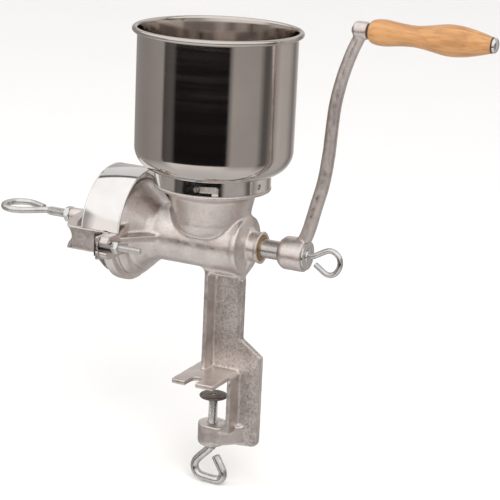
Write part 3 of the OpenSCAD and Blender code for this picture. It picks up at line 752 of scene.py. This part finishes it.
def make_clamp_screw(node, side):
    """A rough T head with rounded edges, which lies across the slot, on a threaded shank."""
    low, high = span(node)
    half_y, half_z = (high.y - low.y) / 2, (high.z - low.z) / 2
    block = bmesh.new()
    bmesh.ops.create_cube(block, size=2.0)
    centre_x, half_x = (low.x + SHANK_X) / 2, (SHANK_X - low.x) / 2
    for vertex in block.verts:
        vertex.co = Vector((centre_x + vertex.co.x * half_x, side * BOLT_Y + vertex.co.y * half_y,
                            BOLT_Z + vertex.co.z * half_z)) * MM
    bmesh.ops.bevel(block, geom=block.edges[:], offset=0.9 * MM, segments=4, affect="EDGES", profile=0.6)
    bmesh.ops.subdivide_edges(block, edges=[e for e in block.edges if e.calc_length() > 2 * MM],
                              cuts=14, use_grid_fill=True)
    block.normal_update()
    for vertex in block.verts:
        p = vertex.co / MM
        vertex.co += vertex.normal * (0.16 * MM * (noise.noise(p * FINE_WAVES) - 0.6))
    mesh = bpy.data.meshes.new("head")
    block.to_mesh(mesh)
    block.free()
    mesh.shade_smooth()
    head = bpy.data.objects.new("head", mesh)
    bpy.context.scene.collection.objects.link(head)
    centre = (0, side * BOLT_Y, BOLT_Z)
    shank = thread("shank", "X", centre, SHANK_X - 2, high.x, 2.97, 1.0)
    replace(join(node + "_forged", [head, shank]), node)


def make_nut(node, y, z, bore, thick_from, thick_to, across):
    """A hexagon nut whose corners are turned down at both faces."""
    sides = 96
    flat = across / 2
    corner = flat / math.cos(math.pi / 6)
    bevel = (corner - flat) * 1.05
    outline = [(0.0, thick_from), (1.0, thick_from), (1.0, thick_from + bevel * 0.6),
               (1.0, thick_to - bevel * 0.6), (1.0, thick_to), (0.0, thick_to)]
    verts, faces = [], []
    for reach, x in outline:
        for k in range(sides):
            a = 2 * math.pi * k / sides
            wedge = (a + math.pi / 6) % (math.pi / 3) - math.pi / 6
            hexagon = flat / math.cos(wedge)
            on_face = x in (thick_from, thick_to)
            radius = min(hexagon, flat * 0.99) if on_face else hexagon
            verts.append(along("X", (0, y, z), radius if reach else bore, a + math.pi / 6, x))
    rows = len(outline)
    for i in range(rows):
        j = (i + 1) % rows
        for k in range(sides):
            n = (k + 1) % sides
            faces.append((i * sides + k, i * sides + n, j * sides + n, j * sides + k))
    replace(finish_mesh(node + "_hex", verts, faces, 28), node)


def make_nuts():
    for node, side in (("clamp_nut_front", -1), ("clamp_nut_rear", 1)):
        low, high = span(node)
        make_nut(node, side * BOLT_Y, BOLT_Z, 3.05, low.x, high.x, 10.0)
    low, high = span("adjusting_lock_nut")
    make_nut("adjusting_lock_nut", 0, AXIS_Z, 4.05, low.x, high.x, 12.4)


def make_pad():
    """The swivel pad: a shallow dished disc with a rounded rim."""
    low, high = span("table_pad")
    radius = (high.x - low.x) / 2
    outline = [(2.05, low.z), (radius - 3, low.z)] + arc_points((radius - 1.2, low.z + 1.25), 1.2,
                                                                 -90, 90, 10)
    outline += [(radius - 3.5, high.z), (2.05, high.z)]
    replace(lathe("pad_disc", outline, "Z", (0, 0, 0), 96), "table_pad")


def make_cap():
    low = span("grip_cap")[0]
    outline = [(0, low.x), (6.0, low.x)] + [(6.0 * math.cos(math.radians(a)),
                                             low.x + 1 + 2.6 * math.sin(math.radians(a)))
                                            for a in range(0, 91, 9)]
    replace(lathe("grip_cap_dome", outline, "X", (0, 0, GRIP_Z), 64, loop=False), "grip_cap")


# ---------------------------------------------------------------- stage, light and camera
# Brightness of the studio's cards, going round from the hopper's rear left (place on the circle)
SIDE_CARDS = [(0.0, 0.34), (0.10, 0.42), (0.14, 1.0), (0.30, 1.0), (0.36, 0.8), (0.40, 0.45),
              (0.50, 0.42), (0.528, 0.13), (0.545, 0.13), (0.57, 0.32), (0.61, 0.62), (0.67, 0.55),
              (0.72, 0.25), (0.80, 0.7), (0.88, 0.34), (1.0, 0.34)]
# A dark cloth low in front, which the hopper mirrors: its share round the circle and by height
CLOTH_ROUND = [(0.0, 0.0), (0.098, 0.0), (0.108, 0.86), (0.150, 0.90), (0.165, 1.0), (0.372, 1.0),
               (0.398, 0.0), (1.0, 0.0)]
CLOTH_HEIGHT = [(0.0, 0.0), (0.285, 0.0), (0.305, 1.0), (0.435, 1.0), (0.455, 0.0), (1.0, 0.0)]
CLOTH_COLOUR = (0.010, 0.009, 0.009, 1)
# Brightness by height (0 is straight down, 1 straight up)
OVERHEAD = [(0.0, 0.7), (0.30, 0.9), (0.5, 1.0), (0.7, 1.15), (0.9, 1.15), (1.0, 1.15)]
# Brightness of the overhead panels from front to rear, with a dark gap between two of them
PANEL_GAP = [(0.0, 1.0), (0.655, 1.0), (0.67, 0.12), (0.70, 0.12), (0.715, 0.62), (1.0, 0.70)]
# How far the overhead brightness takes over from the cards
OVERHEAD_SHARE = [(0.0, 1.0), (0.12, 0.9), (0.30, 0.0), (0.635, 0.0), (0.68, 1.0), (1.0, 1.0)]
# The floor's side and its gap below the object, in metres
FLOOR_SIZE = 12
FLOOR_GAP = 0.0005
# The camera's place in metres, its azimuth, elevation and roll in degrees, and its lens in millimetres
CAMERA_PLACE = (0.6534, -1.2819, 0.5146)
CAMERA_ANGLES = (25.98, 15.66, 2.59)
CAMERA_LENS = 127.1
CAMERA_SENSOR = 36


def make_stage():
    floor_z = cad_box[0][2] - FLOOR_GAP
    bpy.ops.mesh.primitive_plane_add(size=FLOOR_SIZE, location=(0, 0, floor_z))
    floor = bpy.context.object
    floor.name = "floor"
    shade = Shade("floor_paint", (0.93, 0.93, 0.93), 0.0, 0.7)
    shade.roughness(shade.noise(3, 2), 0.65, 0.75)
    floor.data.materials.append(shade.material)
    floor.visible_glossy = False


def area_light(name, place, target, size, power, colour=(1, 1, 1)):
    data = bpy.data.lights.new(name, "AREA")
    data.shape = "RECTANGLE"
    data.size, data.size_y = size
    data.energy = power
    data.color = colour
    light = bpy.data.objects.new(name, data)
    bpy.context.scene.collection.objects.link(light)
    light.location = place
    light.visible_glossy = False
    light.rotation_euler = (Vector(target) - Vector(place)).to_track_quat("-Z", "Y").to_euler()


def tinted(stops, tint):
    return [(place, tuple(value * share for share in tint)) for place, value in stops]


def make_world():
    """A studio: bright overhead, with dark cloths and white cards round the sides."""
    world = bpy.data.worlds.new("studio")
    bpy.context.scene.world = world
    world.use_nodes = True
    tree = world.node_tree
    coordinates = tree.nodes.new("ShaderNodeTexCoord")
    split = tree.nodes.new("ShaderNodeSeparateXYZ")
    tree.links.new(coordinates.outputs["Generated"], split.inputs[0])
    turn = math_node(tree, "ARCTAN2", split.outputs["Y"], split.outputs["X"])
    turn = math_node(tree, "MULTIPLY_ADD", turn, 1 / (2 * math.pi), 0.5)
    sides = ramp_node(tree, turn, tinted(SIDE_CARDS, (1.0, 0.93, 0.89)))
    height = math_node(tree, "MULTIPLY_ADD", split.outputs["Z"], 0.5, 0.5)
    over = ramp_node(tree, height, tinted(OVERHEAD, (1.0, 0.985, 0.97)))
    share = ramp_node(tree, height, OVERHEAD_SHARE)
    cloth = math_node(tree, "MULTIPLY", ramp_node(tree, turn, CLOTH_ROUND),
                      ramp_node(tree, height, CLOTH_HEIGHT))
    hung = mix_node(tree, cloth, sides, CLOTH_COLOUR)
    gap = ramp_node(tree, math_node(tree, "MULTIPLY_ADD", split.outputs["Y"], 0.5, 0.5), PANEL_GAP)
    panels = mix_node(tree, 1.0, over, gap, "MULTIPLY")
    background = tree.nodes["Background"]
    background.inputs["Strength"].default_value = 1.0
    tree.links.new(mix_node(tree, share, hung, panels), background.inputs["Color"])


def make_camera():
    azimuth, elevation, roll = (math.radians(v) for v in CAMERA_ANGLES)
    back = Vector((math.sin(azimuth) * math.cos(elevation), -math.cos(azimuth) * math.cos(elevation),
                   math.sin(elevation)))
    right = Vector((math.cos(azimuth), math.sin(azimuth), 0))
    up = back.cross(right)
    turned_right = right * math.cos(roll) + up * math.sin(roll)
    turned_up = up * math.cos(roll) - right * math.sin(roll)
    data = bpy.data.cameras.new("camera")
    data.sensor_width = CAMERA_SENSOR
    data.lens = CAMERA_LENS
    camera = bpy.data.objects.new("camera", data)
    bpy.context.scene.collection.objects.link(camera)
    turn = Matrix((turned_right, turned_up, back)).transposed().to_4x4()
    camera.matrix_world = Matrix.Translation(CAMERA_PLACE) @ turn
    bpy.context.scene.camera = camera


make_camera()
make_body()
make_bridge()
make_hopper()
make_guard()
make_crank()
make_grip()
make_table_screw()
make_crank_screw()
make_adjuster()
make_clamp_screw("clamp_screw_front", -1)
make_clamp_screw("clamp_screw_rear", 1)
make_nuts()
make_pad()
make_cap()
for kept in nodes:
    if not nodes[kept].hide_render:
        dress(kept)
make_stage()
make_world()
area_light("key", (1.3, -1.6, 2.2), (0, 0, 0.15), (1.6, 1.6), 40, (1, 0.98, 0.95))
area_light("fill", (-1.8, -1.4, 1.2), (0, 0, 0.12), (1.0, 1.6), 16, (1, 0.97, 0.94))
bpy.context.scene.view_settings.view_transform = "Standard"
